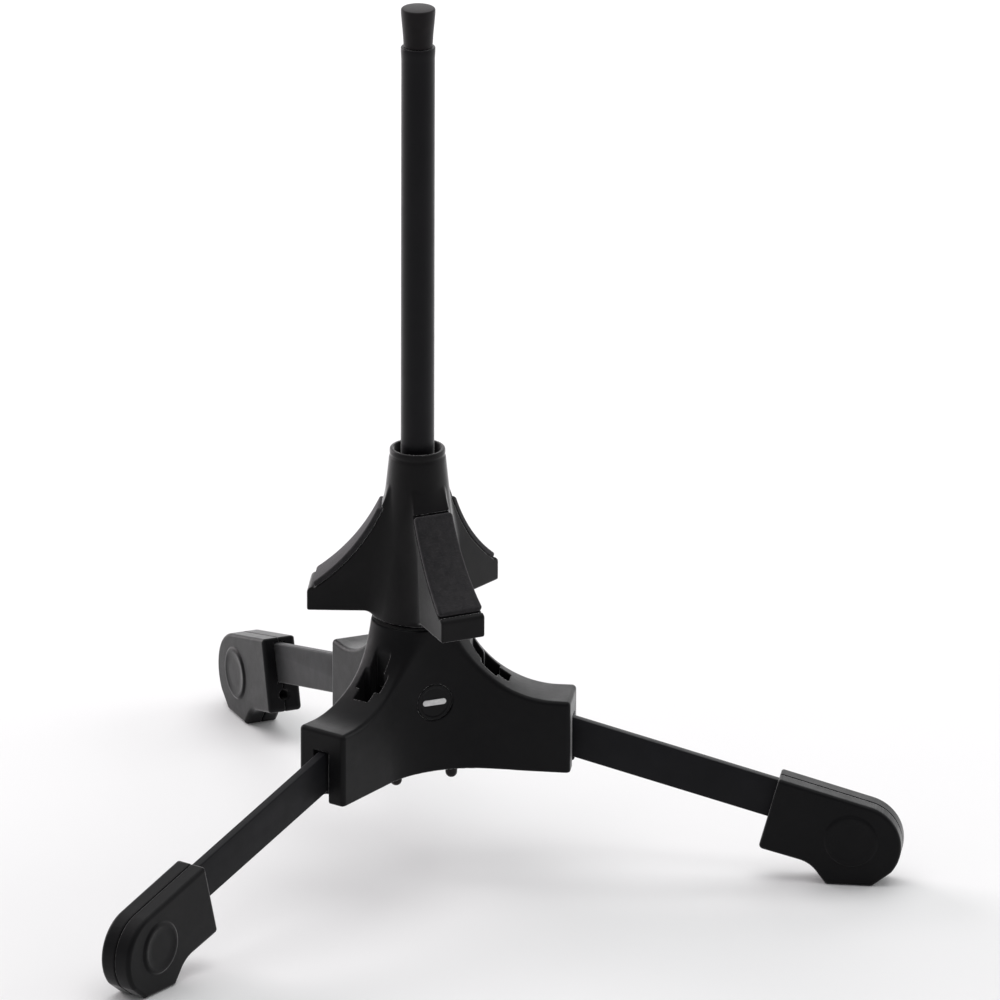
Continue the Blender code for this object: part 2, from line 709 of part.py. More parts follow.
def bell_cone(root):
    joint = joint_empty("cone_joint", root, (0.0, 0.0, 0.0))
    outer = [(0.0, CONE_Z[1]), (CONE_R[1], CONE_Z[1]), (CONE_R[0], CONE_Z[0]), (0.0, CONE_Z[0])]
    cone = turned("bell_cone", outer, PLASTIC, joint, sides=40)
    for tag, azimuth in zip(LEGS, FIN_AZIMUTHS):
        join(cone, fin_shape(f"fin_{tag}", joint, azimuth))
    low = CONE_R[0] - CONE_WALL
    throat_z = CONE_Z[1] - 12.0
    bore = [(0.0, CONE_Z[1] + 3.0), (RIM_BORE, CONE_Z[1] + 3.0), (RIM_BORE, throat_z)]
    bore += [(cone_radius(throat_z) - CONE_WALL, throat_z - 4.0), (low, CONE_Z[0]), (low, CONE_Z[0] - 3.0)]
    bore += [(0.0, CONE_Z[0] - 3.0)]
    cut(cone, turned("cone_bore", bore, None, joint))
    for tag, azimuth in zip(LEGS, FIN_AZIMUTHS):
        cut(cone, fin_hollow(f"fin_hollow_{tag}", joint, azimuth))
        radii = (PAD_OUTER - RECESS_REACH, PAD_INNER + GAP)
        cut(cone, pad_block(f"pad_recess_{tag}", None, joint, azimuth, radii, RECESS_HALF_W, PAD_MARGIN))
        pad_block(f"bell_pad_{tag}", FELT, joint, azimuth, (PAD_OUTER, PAD_INNER), PAD_HALF_W, 0.0)
    smooth_rounds(cone)


def centre_on_footprint(root):
    """Moves the stand so that the middle of its footprint's box is the origin."""
    reach = FOOT_NOSE_R + FOOT_NOSE_RADIUS
    half = math.radians(60.0)
    disc_reach = DISC_R * math.cos(half) + (FOOT_HALF_W + DISC_HEIGHT) * math.sin(half)
    nose_reach = reach * math.cos(half) + FOOT_HALF_W * math.sin(half)
    root.location.x = -0.5 * (reach - max(nose_reach, disc_reach)) * MM


clear_scene()
STAND = new_collection("saxophone_stand")
CUTTERS = new_collection("cutters")
stand = joint_empty("stand", None, (0.0, 0.0, 0.0))
hub_body(stand)
badge_disc(stand)
base_plate(stand)
thread_bush(stand)
for leg_tag, leg_azimuth in zip(LEGS, LEG_AZIMUTHS):
    base_screw(leg_tag, leg_azimuth, stand)
    leg(leg_tag, leg_azimuth, stand)
peg(stand)
bell_cone(stand)
centre_on_footprint(stand)
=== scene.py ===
"""Looks of a folding saxophone stand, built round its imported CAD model.

The mouldings and pads are described by signed distances, in millimetres, and meshed from
them, so that their edges are rounded and their fillets run smoothly into each other. Bars are
curves, and turned pieces are turned from a profile. Every piece rides on a CAD body.

Three local frames are used. The stand's frame has its origin on the peg's axis at floor level.
A leg's frame is the same, turned so that X runs out along the leg. The cone's frame is turned
so that X runs out along one of its fins.
"""

import itertools
import json
import math

import bmesh
import bpy
import numpy as np
from mathutils import Matrix, Vector


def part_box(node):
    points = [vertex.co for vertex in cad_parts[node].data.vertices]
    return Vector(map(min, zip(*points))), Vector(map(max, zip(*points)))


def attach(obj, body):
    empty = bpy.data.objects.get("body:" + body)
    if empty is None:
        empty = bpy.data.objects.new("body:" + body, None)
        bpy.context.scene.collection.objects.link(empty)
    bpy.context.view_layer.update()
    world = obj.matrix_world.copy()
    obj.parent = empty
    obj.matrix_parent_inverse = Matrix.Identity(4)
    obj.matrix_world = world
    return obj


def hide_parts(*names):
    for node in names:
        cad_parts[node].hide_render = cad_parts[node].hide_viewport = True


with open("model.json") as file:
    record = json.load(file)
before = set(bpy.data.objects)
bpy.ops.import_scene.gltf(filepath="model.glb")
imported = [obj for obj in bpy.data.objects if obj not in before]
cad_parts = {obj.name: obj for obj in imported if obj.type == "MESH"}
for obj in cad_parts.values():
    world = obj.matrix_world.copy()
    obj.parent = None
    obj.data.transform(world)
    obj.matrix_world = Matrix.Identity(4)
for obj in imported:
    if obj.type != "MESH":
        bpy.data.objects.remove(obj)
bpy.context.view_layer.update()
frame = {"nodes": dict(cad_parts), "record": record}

MM = 0.001
GAP = 0.3  # clearance between touching pieces
LEGS = ("a", "b", "c")
JOINTS = {joint["name"]: joint for joint in frame["record"]["behaviour"]["joints"]}


def box_mm(node):
    low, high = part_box(node)
    return low / MM, high / MM


# ---- places and sizes taken from the frame ----------------------------------------------

TUBE_LOW, TUBE_HIGH = box_mm("peg_tube")
AXIS = Vector(((TUBE_LOW.x + TUBE_HIGH.x) / 2, (TUBE_LOW.y + TUBE_HIGH.y) / 2, 0.0)) * MM
TUBE_R = (TUBE_HIGH.x - TUBE_LOW.x) / 2
HUB_LOW, HUB_HIGH = box_mm("hub_body")
CONE_LOW, CONE_HIGH = box_mm("bell_cone")
PLUG_TOP = box_mm("peg_end_plug")[1].z
PLATE_LOW, PLATE_HIGH = box_mm("base_plate")
SCREW_LOW, SCREW_HIGH = box_mm("base_screw_a")
PIVOTS = {tag: Vector(JOINTS[f"leg_fold_{tag}"]["pos_m"]) for tag in LEGS}
PIVOT_R = (PIVOTS["a"] - AXIS).xy.length / MM
PIVOT_Z = PIVOTS["a"].z / MM


def azimuth_of(point):
    out = point - AXIS
    return math.atan2(out.y, out.x)


LEG_AZIMUTHS = {tag: azimuth_of(PIVOTS[tag]) for tag in LEGS}


def middle_of(node):
    """The mean of a node's vertices."""
    obj = frame["nodes"][node]
    points = [obj.matrix_world @ vertex.co for vertex in obj.data.vertices]
    return sum(points, Vector()) / len(points)


FIN_AZIMUTHS = {tag: azimuth_of(middle_of(f"bell_pad_{tag}")) for tag in LEGS}

# ---- shape, in millimetres --------------------------------------------------------------

LEG_SLOPE = math.radians(15.4)
BAR_HEIGHT = 17.0
BAR_THICKNESS = 4.0
BAR_END_S = 166.0
BAR_EDGE = 0.6  # every _EDGE is the rounding of an edge, every _CORNER of a corner in plan

FOOT_HALF_W = 7.5
FOOT_PARTING = 0.15
FOOT_START_S = 124.0
FOOT_TOP_N = 10.9
FOOT_HEEL_N = -21.4
FOOT_NOSE = (187.0, 17.8)
FOOT_NOSE_RADIUS = 18.1
FOOT_EDGE = 1.7
PARTING_EDGE = 0.45
SOLE_R = (173.4, 193.0)
ARCH = (166.5, 9.2)
ARCH_RADIUS = 13.0
DISC = (184.0, 20.0)
DISC_RADIUS = 11.0
DISC_FACE_W = 8.3
DISC_EDGE = 0.8
DISC_RIM = 1.6
DISC_DISH = 0.45
SOCKET_EDGE = 0.35
SOCKET_HOLE_N = -14.0
SOCKET_HOLE_RADIUS = 2.3
SOCKET_HOLE_DEPTH = 12.0

NECK_Z = 109.5
NECK_EDGE = 0.6
HUB_EDGE = 1.8
HUB_BASE_EDGE = 0.9
LOBE_R = 66.0
LOBE_CORNER = 2.0
LOBE_HALF_W = 11.8
PANEL_CENTRE_R = 62.2
PANEL_RADIUS = 43.1
RIDGE_CENTRE = (60.0, 118.9)
RIDGE_RADIUS = 41.2
OPENING_EDGE = 0.6
CHANNEL_HALF_W = 2.4
CHANNEL_BELOW_Z = 30.0  # a height below the hub, where the channel is open
CHANNEL_HEAD = ((22.0, 84.0), (34.0, 83.0), (40.0, 79.0))  # R and Z of its ceiling near the pivot
CHANNEL_S = (8.9, 60.0)  # where its ceiling follows the bar
CHANNEL_SLACK = 0.4  # between a bar's top edge and the channel's ceiling
MOUTH_HALF_W = 3.7
MOUTH_R = 58.0
WELL_R = (23.0, 39.0)
WELL_HALF_W = 3.6
WELL_Z = 78.0
WELL_EDGE = 0.5
SADDLE_HALF_W = 6.0
SADDLE_RADIUS = 3.25
PLATE_R = 15.9
PLATE_SLACK = 0.4
PLATE_THICKNESS = 2.9
PLATE_EDGE = 0.4
PLATE_HOLE_RADIUS = 3.0
SCREW_R = 14.5
SCREW_SHANK_RADIUS = 1.5
SCREW_HOLE_RADIUS = 1.8
BOSS_RADIUS = 4.0
BOSS_EDGE = 0.7
SPIGOT_R = (11.0, 15.9)
BADGE_AZIMUTH = math.radians(-60.0)
BADGE_Z = 77.0
BADGE_RADIUS = 7.7
BADGE_FACE = 19.0
BADGE_BACK = 18.1
BADGE_RIM = 1.6
BADGE_DISH = 0.35
BADGE_EDGE = 0.25
MARK_HALF_LENGTH = 4.0
MARK_RADIUS = 1.25
MARK_PROUD = 0.05
MARK_DEPTH = 0.5
MARK_EDGE = 0.15

TUBE_WALL = 1.2
TUBE_LIP = 0.18  # how far the tube's end swells
PLUG_STEM = 18.0
PLUG_FOOT_RADIUS = 6.0
PLUG_HEAD_RADIUS = 7.15
PLUG_HEAD_EDGE = 0.85

CONE_R = (19.0, 11.5)
CONE_WALL = 1.9
CONE_EDGE = 0.8
RIM_BORE = 10.0
RIM_DEPTH = 13.0
RIM_EDGE = 0.6
FIN_END_R = 45.5
FIN_BASE_Z = 113.7
FIN_HALF_W = (8.6, 10.0)
FIN_WALL = 2.2
FIN_EDGE = 0.9
FIN_TOP_Z = 171.0
FIN_TOP_EDGE = 4.0
HOLLOW_TOP_Z = 140.0
FIN_BLEND = (4.5, 1.5)  # fillet between fin and cone, low down and at its top
FIN_FADE = (150.0, 1.9)  # the height above which fins narrow, and by how much on each side
RIM_GROOVE_Z = 181.4
RIM_GROOVE = (0.3, 0.7)  # its depth, and half its width
FLARE_CENTRE = (91.0, 192.3)
FIN_OUTER = 83.0  # these three are distances from that centre
PAD_OUTER = 81.7
PAD_INNER = 83.8
PAD_ANGLES = (math.radians(203.6), math.radians(234.4))
PAD_TAPER_R = (16.0, 44.0)
PAD_HALF_W = (8.7, 10.1)  # the felt overhangs its recess a little, which is open at the sides
PAD_MARGIN = 0.9
PAD_CORNER = 1.6
PAD_EDGE = 1.0
PAD_SAG = 0.15  # how far its sides pull in between its corners
PAD_CROWN = 0.55
RECESS_EDGE = 0.6

HUB_STEP = 0.7  # the grid step of each meshed piece
PLATE_STEP = 0.5
BADGE_STEP = 0.3
MARK_STEP = 0.12
FOOT_STEP = 0.42
CONE_STEP = 0.6
PAD_STEP = 0.4


# ---- distances --------------------------------------------------------------------------


def both(a, b, radius=0.0):
    """The overlap of two shapes, with a rounded edge where they meet."""
    a, b = a + radius, b + radius
    outside = np.hypot(np.maximum(a, 0.0), np.maximum(b, 0.0))
    return np.minimum(np.maximum(a, b), 0.0) + outside - radius


def either(a, b, radius=0.0):
    """Two shapes joined, with a fillet where they meet."""
    return -both(-a, -b, radius)


def without(a, b, radius=0.0):
    """The first shape with the second cut out of it, and a rounded edge round the cut."""
    return both(a, -b, radius)


def polygon(outline, u, v):
    """Distance from a closed outline, negative inside it."""
    nearest = np.full(np.broadcast(u, v).shape, np.inf)
    inside = np.zeros(nearest.shape, bool)
    for (u0, v0), (u1, v1) in zip(outline, outline[1:] + outline[:1]):
        du, dv = u1 - u0, v1 - v0
        share = np.clip(((u - u0) * du + (v - v0) * dv) / (du * du + dv * dv), 0.0, 1.0)
        nearest = np.minimum(nearest, (u - u0 - share * du) ** 2 + (v - v0 - share * dv) ** 2)
        if dv:
            inside ^= ((v0 <= v) != (v1 <= v)) & (u < u0 + (v - v0) * du / dv)
    return np.where(inside, -1.0, 1.0) * np.sqrt(nearest)


def turned_to(azimuth, x, y):
    """Coordinates along and across a direction in plan."""
    cos, sin = math.cos(azimuth), math.sin(azimuth)
    return x * cos + y * sin, y * cos - x * sin


def folded(x, y):
    """Coordinates along and across the nearest of three arms, one of which lies along X."""
    third = 2 * math.pi / 3
    angle = np.arctan2(y, x)
    angle = angle - np.round(angle / third) * third
    r = np.hypot(x, y)
    return r * np.cos(angle), r * np.sin(angle), r


def arc(centre, radius, start, end, steps):
    angles = [start + (end - start) * i / steps for i in range(steps + 1)]
    return [(centre[0] + radius * math.cos(a), centre[1] + radius * math.sin(a)) for a in angles]


def filleted(corners, steps=8):
    """A closed outline from (x, y, fillet radius) corners."""
    outline = []
    for i, (x, y, radius) in enumerate(corners):
        corner = Vector((x, y))
        if radius <= 0.0:
            outline.append((x, y))
            continue
        before = (Vector(corners[i - 1][:2]) - corner).normalized()
        after = (Vector(corners[(i + 1) % len(corners)][:2]) - corner).normalized()
        half = before.angle(after) / 2
        centre = corner + (before + after).normalized() * (radius / math.sin(half))
        first = corner + before * (radius / math.tan(half)) - centre
        last = corner + after * (radius / math.tan(half)) - centre
        sweep = math.atan2(first.x * last.y - first.y * last.x, first.dot(last))
        start = math.atan2(first.y, first.x)
        outline += arc(centre, radius, start, start + sweep, steps)
    return outline


def slopes(distance, points, reach=0.02):
    """The distance at each point and the unit direction in which it grows."""
    value = distance(*points.T)
    gradient = np.empty_like(points)
    for axis in range(3):
        ahead, behind = points.copy(), points.copy()
        ahead[:, axis] += reach
        behind[:, axis] -= reach
        gradient[:, axis] = (distance(*ahead.T) - distance(*behind.T)) / (2 * reach)
    length = np.maximum(np.linalg.norm(gradient, axis=1), 0.3)
    return value / length, gradient / length[:, None]


def surface(name, distance, low, high, step):
    """A mesh of the surface where distance(x, y, z) is zero: one vertex in each grid cube that
    the surface passes through, moved onto the surface, and one face for each edge it crosses."""
    step *= 1.0
    axes = [np.arange(a - 2 * step, b + 3 * step, step) for a, b in zip(low, high)]
    field = distance(*np.meshgrid(*axes, indexing="ij", sparse=True))
    inside = field < 0.0
    cubes = [n - 1 for n in field.shape]

    def corner(grid, offset):
        return grid[tuple(slice(o, o + n) for o, n in zip(offset, cubes))]

    offsets = list(itertools.product((0, 1), repeat=3))
    filled = sum(corner(inside, offset).astype(np.int8) for offset in offsets)
    crossed = (filled > 0) & (filled < len(offsets))
    cells = np.argwhere(crossed)
    number = np.full(crossed.shape, -1, np.int64)
    number[crossed] = np.arange(len(cells))
    total = np.zeros((len(cells), 3))
    hits = np.zeros(len(cells))
    for start, axis in itertools.product(offsets, range(3)):
        if start[axis]:
            continue
        end = tuple(1 if i == axis else o for i, o in enumerate(start))
        a, b = corner(field, start)[crossed], corner(field, end)[crossed]
        change = (a < 0.0) != (b < 0.0)
        place = np.tile(np.array(start, float), (len(cells), 1))
        place[:, axis] = a / np.where(change, a - b, 1.0)
        total[change] += place[change]
        hits += change
    points = np.array([grid[0] for grid in axes]) + (cells + total / hits[:, None]) * step
    for _ in range(2):
        value, normals = slopes(distance, points)
        points -= np.clip(value, -step / 2, step / 2)[:, None] * normals
    normals = slopes(distance, points)[1]

    quads = []
    for axis in range(3):
        b, c = (axis + 1) % 3, (axis + 2) % 3
        near = np.moveaxis(inside, axis, 0)[:-1]
        far = np.moveaxis(inside, axis, 0)[1:]
        where = np.moveaxis(near != far, 0, axis)
        edges = np.argwhere(where)
        ring = []
        for back_b, back_c in ((1, 1), (0, 1), (0, 0), (1, 0)):
            at = edges.copy()
            at[:, b] -= back_b
            at[:, c] -= back_c
            ring.append(number[tuple(at.T)])
        ring = np.stack(ring, axis=1)
        hole = ~inside[tuple(edges.T)]
        ring[hole] = ring[hole][:, ::-1]
        quads.append(ring)
    quads = np.concatenate(quads)
    if quads.min() < 0:
        raise ValueError(f"{name} runs out of its grid")

    mesh = bpy.data.meshes.new(name)
    mesh.vertices.add(len(points))
    mesh.vertices.foreach_set("co", (points * MM).ravel())
    mesh.loops.add(quads.size)
    mesh.loops.foreach_set("vertex_index", quads.ravel())
    mesh.polygons.add(len(quads))
    mesh.polygons.foreach_set("loop_start", np.arange(0, quads.size, 4))
    mesh.update(calc_edges=True)
    mesh.shade_smooth()
    mesh.normals_split_custom_set_from_vertices(normals)
    return mesh


# ---- pieces -----------------------------------------------------------------------------


def add_piece(name, mesh, body, nodes, material, matrix):
    """A shown piece that rides on a body and stands for the named CAD nodes."""
    piece = bpy.data.objects.new(name, mesh)
    bpy.context.scene.collection.objects.link(piece)
    piece.matrix_world = matrix
    mesh.materials.clear()
    mesh.materials.append(material)
    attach(piece, body)
    if nodes:
        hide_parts(*nodes)
    return piece


def stand_frame(azimuth=0.0):
    return Matrix.Translation(AXIS) @ Matrix.Rotation(azimuth, 4, "Z")


def turned(name, profile, steps=96):
    """A mesh turned about Z from a closed (radius, height) outline in millimetres."""
    mesh = bpy.data.meshes.new(name)
    count = len(profile)
    verts = []
    for i in range(steps):
        a = 2 * math.pi * i / steps
        verts += [(r * MM * math.cos(a), r * MM * math.sin(a), z * MM) for r, z in profile]
    faces = []
    for i, j in itertools.product(range(steps), range(count)):
        a, b = i * count, (i + 1) % steps * count
        k = (j + 1) % count
        faces.append((a + j, b + j, b + k, a + k))
    mesh.from_pydata(verts, [], faces)
    mesh.shade_smooth()
    return weld(mesh)


def weld(mesh):
    """Joins the points that fall together on the axis and turns the faces outwards."""
    bm = bmesh.new()
    bm.from_mesh(mesh)
    bmesh.ops.remove_doubles(bm, verts=bm.verts, dist=1e-6)
    bmesh.ops.dissolve_degenerate(bm, edges=bm.edges, dist=1e-7)
    bmesh.ops.recalc_face_normals(bm, faces=bm.faces)
    bm.to_mesh(mesh)
    bm.free()
    mesh.set_sharp_from_angle(angle=math.radians(40))
    return mesh


# ---- hub --------------------------------------------------------------------------------


def on_leg(s, n):
    """R and Z of a point that is s along a leg from its pivot and n above its centre line."""
    cos, sin = math.cos(LEG_SLOPE), math.sin(LEG_SLOPE)
    return PIVOT_R + s * cos + n * sin, PIVOT_Z - s * sin + n * cos


def from_leg(x, z):
    """The opposite of on_leg."""
    x, z = x - PIVOT_R, z - PIVOT_Z
    cos, sin = math.cos(LEG_SLOPE), math.sin(LEG_SLOPE)
    return x * cos - z * sin, x * sin + z * cos


def lobed_plan(along, across):
    """The hub in plan: three arms with square ends and flat sides, joined by hollow walls."""
    centre = np.array((math.cos(math.pi / 3), math.sin(math.pi / 3))) * PANEL_CENTRE_R
    corner = np.array((LOBE_R, LOBE_HALF_W))
    reach = np.linalg.norm(corner - centre)
    bearing = math.atan2(*(corner - centre)[::-1]) - math.acos(PANEL_RADIUS / reach)
    out = np.array((math.cos(bearing), math.sin(bearing)))  # towards where the flat starts
    u, v = along - centre[0], np.abs(across) - centre[1]
    flat = PANEL_RADIUS - (u * out[0] + v * out[1])
    wall = PANEL_RADIUS - np.hypot(u, v)
    past = v * out[0] - u * out[1] > 0.0
    return both(along - LOBE_R, np.where(past, flat, wall), LOBE_CORNER)


def above_bar(slack):
    """R and Z of two points on a line a little above a resting bar's top edge."""
    return [on_leg(s, BAR_HEIGHT / 2 + slack) for s in CHANNEL_S]


def leg_openings(along, across, z):
    """The channel a leg swings in, its mouth, and the cross-shaped opening over its pivot."""
    side = np.abs(across)
    ceiling = above_bar(CHANNEL_SLACK)
    start, end = CHANNEL_HEAD[0][0], ceiling[-1][0]
    outline = [(start, CHANNEL_BELOW_Z), *CHANNEL_HEAD, *ceiling, (end, CHANNEL_BELOW_Z)]
    channel = np.maximum(polygon(outline, along, z), side - CHANNEL_HALF_W)
    over = from_leg(along, z)[1] - BAR_HEIGHT / 2 - CHANNEL_SLACK - GAP
    mouth = np.maximum(np.maximum(side - MOUTH_HALF_W, MOUTH_R - along), over)
    well_r = np.abs(along - sum(WELL_R) / 2) - (WELL_R[1] - WELL_R[0]) / 2
    well = np.maximum(both(side - WELL_HALF_W, well_r, WELL_EDGE), WELL_Z - z)
    seat = np.hypot(along - PIVOT_R, np.minimum(z - PIVOT_Z, 0.0)) - SADDLE_RADIUS
    saddle = both(seat, side - SADDLE_HALF_W, WELL_EDGE)
    return np.minimum(np.minimum(channel, mouth), np.minimum(well, saddle))


def hub_distance(x, y, z):
    along, across, r = folded(x, y)
    ridge_r = np.minimum(r, RIDGE_CENTRE[0]) - RIDGE_CENTRE[0]
    ridge = RIDGE_RADIUS - np.hypot(ridge_r, z - RIDGE_CENTRE[1])
    hub = both(lobed_plan(along, across), ridge, HUB_EDGE)
    hub = both(hub, z - NECK_Z, NECK_EDGE)
    hub = both(hub, HUB_LOW.z - z, HUB_BASE_EDGE)
    spigot = np.abs(r - sum(SPIGOT_R) / 2) - (SPIGOT_R[1] - SPIGOT_R[0]) / 2
    spigot = np.maximum(spigot, z - HUB_HIGH.z)
    hub = either(hub, np.maximum(spigot, NECK_Z - 3.0 - z))
    hub = without(hub, leg_openings(along, across, z), OPENING_EDGE)
    recess = np.maximum(r - PLATE_R - PLATE_SLACK, z - PLATE_HIGH.z - GAP)
    boss_room = np.hypot(along - SCREW_R, across) - BOSS_RADIUS - GAP
    boss_room = np.maximum(boss_room, z - PLATE_HIGH.z - 0.5)
    bore = np.maximum(r - TUBE_R - GAP, TUBE_LOW.z - GAP - z)
    hub = without(hub, np.minimum(np.minimum(recess, boss_room), bore), 0.3)
    out, side = turned_to(BADGE_AZIMUTH, x, y)
    badge = np.maximum(np.hypot(side, z - BADGE_Z) - BADGE_RADIUS - GAP, BADGE_BACK - 0.15 - out)
    return without(hub, badge, 0.4)


def add_hub(plastic):
    reach = LOBE_R + 1.0
    low, high = (-LOBE_R / 2 - LOBE_HALF_W, -reach, HUB_LOW.z), (reach, reach, HUB_HIGH.z)
    mesh = surface("hub_moulding", hub_distance, low, high, HUB_STEP)
    add_piece("hub_moulding", mesh, "hub", ["hub_body"], plastic, stand_frame())


def plate_distance(x, y, z):
    along, across, r = folded(x, y)
    thickness = np.maximum(z - PLATE_HIGH.z, PLATE_HIGH.z - PLATE_THICKNESS - z)
    plate = both(r - PLATE_R, thickness, PLATE_EDGE)
    from_screw = np.hypot(along - SCREW_R, across)
    boss = both(from_screw - BOSS_RADIUS, PLATE_LOW.z - z, BOSS_EDGE)
    boss = np.maximum(boss, z - PLATE_HIGH.z + 0.2)
    plate = either(plate, boss, 0.6)
    return without(plate, np.minimum(r - PLATE_HOLE_RADIUS, from_screw - SCREW_HOLE_RADIUS), 0.2)


def add_base_plate(plastic, screw_black):
    reach = SCREW_R + BOSS_RADIUS
    low, high = (-reach, -reach, PLATE_LOW.z), (reach, reach, PLATE_HIGH.z)
    mesh = surface("base_cover", plate_distance, low, high, PLATE_STEP)
    add_piece("base_cover", mesh, "hub", ["base_plate"], plastic, stand_frame())
    head_r = (SCREW_HIGH.x - SCREW_LOW.x) / 2
    dome = arc((0.0, SCREW_LOW.z + head_r), head_r, 0.0, -math.pi / 2, 10)
    seat = PLATE_LOW.z - GAP
    shank = SCREW_SHANK_RADIUS
    profile = [(0.0, SCREW_HIGH.z), (shank, SCREW_HIGH.z), (shank, seat), (head_r - 0.3, seat)]
    profile += [(head_r, seat - 0.3)] + dome
    for tag in LEGS:
        name = f"stud_{tag}"
        place = stand_frame(LEG_AZIMUTHS[tag]) @ Matrix.Translation((SCREW_R * MM, 0.0, 0.0))
        mesh = turned(name, profile, 40)
        add_piece(name, mesh, "hub", [f"base_screw_{tag}"], screw_black, place)


def badge_distance(x, y, z):
    """A dished disc facing +Z, with a low rim."""
    r = np.hypot(x, y)
    rim = np.clip((r - BADGE_RADIUS + BADGE_RIM) / 0.6, 0.0, 1.0)
    face = z - (BADGE_FACE - BADGE_DISH + BADGE_DISH * rim)
    return both(r - BADGE_RADIUS - 0.12, np.maximum(face, BADGE_BACK - z), BADGE_EDGE)


def mark_distance(x, y, z):
    """A plain pill-shaped bar standing a little proud of the badge."""
    pill = np.hypot(np.maximum(np.abs(x) - MARK_HALF_LENGTH, 0.0), y) - MARK_RADIUS
    low, high = BADGE_FACE - MARK_DEPTH, BADGE_FACE + MARK_PROUD
    return both(pill, np.abs(z - (low + high) / 2) - (high - low) / 2, MARK_EDGE)


def add_badge(inlay, paint):
    facing = Matrix.Rotation(math.pi / 2, 4, "Z") @ Matrix.Rotation(math.pi / 2, 4, "X")
    place = stand_frame(BADGE_AZIMUTH) @ Matrix.Translation((0.0, 0.0, BADGE_Z * MM)) @ facing
    reach = BADGE_RADIUS + 0.5
    low, high = (-reach, -reach, BADGE_BACK), (reach, reach, BADGE_FACE)
    mesh = surface("badge_inlay", badge_distance, low, high, BADGE_STEP)
    add_piece("badge_inlay", mesh, "hub", ["badge_disc"], inlay, place)
    mesh = surface("badge_mark", mark_distance, (-6.0, -2.0, 18.3), (6.0, 2.0, 19.3), MARK_STEP)
    add_piece("badge_mark", mesh, "hub", [], paint, place)


# ---- legs and feet ----------------------------------------------------------------------


def bar_mesh(name):
    """A flat bar with softened edges, round at its pivot end."""
    half = BAR_HEIGHT / 2
    tail = arc((0.0, 0.0), half, math.pi / 2, 3 * math.pi / 2, 32)
    outline = [on_leg(s, n) for s, n in tail + [(BAR_END_S, -half), (BAR_END_S, half)]]
    curve = bpy.data.curves.new(name, "CURVE")
    curve.dimensions = "2D"
    curve.fill_mode = "BOTH"
    curve.extrude = (BAR_THICKNESS / 2 - BAR_EDGE) * MM
    curve.bevel_depth = BAR_EDGE * MM
    curve.bevel_resolution = 3
    curve.offset = -BAR_EDGE * MM
    spline = curve.splines.new("POLY")
    spline.points.add(len(outline) - 1)
    for point, (x, z) in zip(spline.points, outline):
        point.co = (x * MM, z * MM, 0.0, 1.0)
    spline.use_cyclic_u = True
    guide = bpy.data.objects.new(name, curve)
    bpy.context.scene.collection.objects.link(guide)
    graph = bpy.context.evaluated_depsgraph_get()
    mesh = bpy.data.meshes.new_from_object(guide.evaluated_get(graph))
    bpy.data.objects.remove(guide)
    mesh.transform(Matrix.Rotation(math.pi / 2, 4, "X"))
    mesh.shade_smooth()
    return weld(mesh)


def foot_outline():
    start = math.pi / 2 - LEG_SLOPE
    nose = arc(FOOT_NOSE, FOOT_NOSE_RADIUS, start, math.radians(-40.0), 32)
    outline = [(*on_leg(FOOT_START_S, FOOT_TOP_N), 1.0)]
    outline += [(x, y, 0.0) for x, y in nose]
    outline += [(SOLE_R[1], 0.0, 1.0), (SOLE_R[0], 0.0, 1.0), (*ARCH, ARCH_RADIUS)]
    outline.append((*on_leg(FOOT_START_S, FOOT_HEEL_N), 1.8))
    return filleted(outline)


FOOT_OUTLINE = foot_outline()


def foot_distance(x, y, z):
    """The half of a foot on the +Y side, in its leg's frame."""
    s, n = from_leg(x, z)
    half = both(polygon(FOOT_OUTLINE, x, z), y - FOOT_HALF_W, FOOT_EDGE)
    half = both(half, FOOT_PARTING - y, PARTING_EDGE)
    from_disc = np.hypot(x - DISC[0], z - DISC[1])
    dish = DISC_DISH * np.clip(1.25 - (from_disc / (DISC_RADIUS - DISC_RIM)) ** 4 * 1.25, 0.0, 1.0)
    disc = both(from_disc - DISC_RADIUS, y - DISC_FACE_W + dish, DISC_EDGE)
    half = either(half, np.maximum(disc, 3.0 - y), DISC_EDGE)
    slack = GAP + BAR_HEIGHT / 2
    pocket = np.maximum(np.abs(n) - slack, y - BAR_THICKNESS / 2 - GAP)
    pocket = np.maximum(pocket, s - BAR_END_S - GAP)
    hole = np.hypot(n - SOCKET_HOLE_N, y) - SOCKET_HOLE_RADIUS
    hole = np.maximum(hole, s - FOOT_START_S - SOCKET_HOLE_DEPTH)
    return without(half, np.minimum(pocket, hole), SOCKET_EDGE)


def add_legs(plastic, coat):
    low_r = on_leg(FOOT_START_S, FOOT_HEEL_N)[0] - 1.0
    high_z = on_leg(FOOT_START_S, FOOT_TOP_N)[1] + 1.0
    nose_r = FOOT_NOSE[0] + FOOT_NOSE_RADIUS
    for tag in LEGS:
        name, body, place = f"bar_{tag}", f"leg_{tag}", stand_frame(LEG_AZIMUTHS[tag])
        add_piece(name, bar_mesh(name), body, [f"leg_bar_{tag}"], coat, place)
    low, high = (low_r, 0.0, 0.0), (nose_r, DISC_FACE_W, high_z)
    mesh = surface("foot_shell", foot_distance, low, high, FOOT_STEP)
    flipped = mesh.copy()
    flipped.transform(Matrix.Scale(-1.0, 4, (0.0, 1.0, 0.0)))
    flipped.flip_normals()
    for tag, (side, shell) in itertools.product(LEGS, (("left", mesh), ("right", flipped))):
        name, node = f"foot_shell_{tag}_{side}", f"foot_{tag}_{side}"
        place = stand_frame(LEG_AZIMUTHS[tag])
        add_piece(name, shell.copy(), f"leg_{tag}", [node], plastic, place)


# ---- peg --------------------------------------------------------------------------------


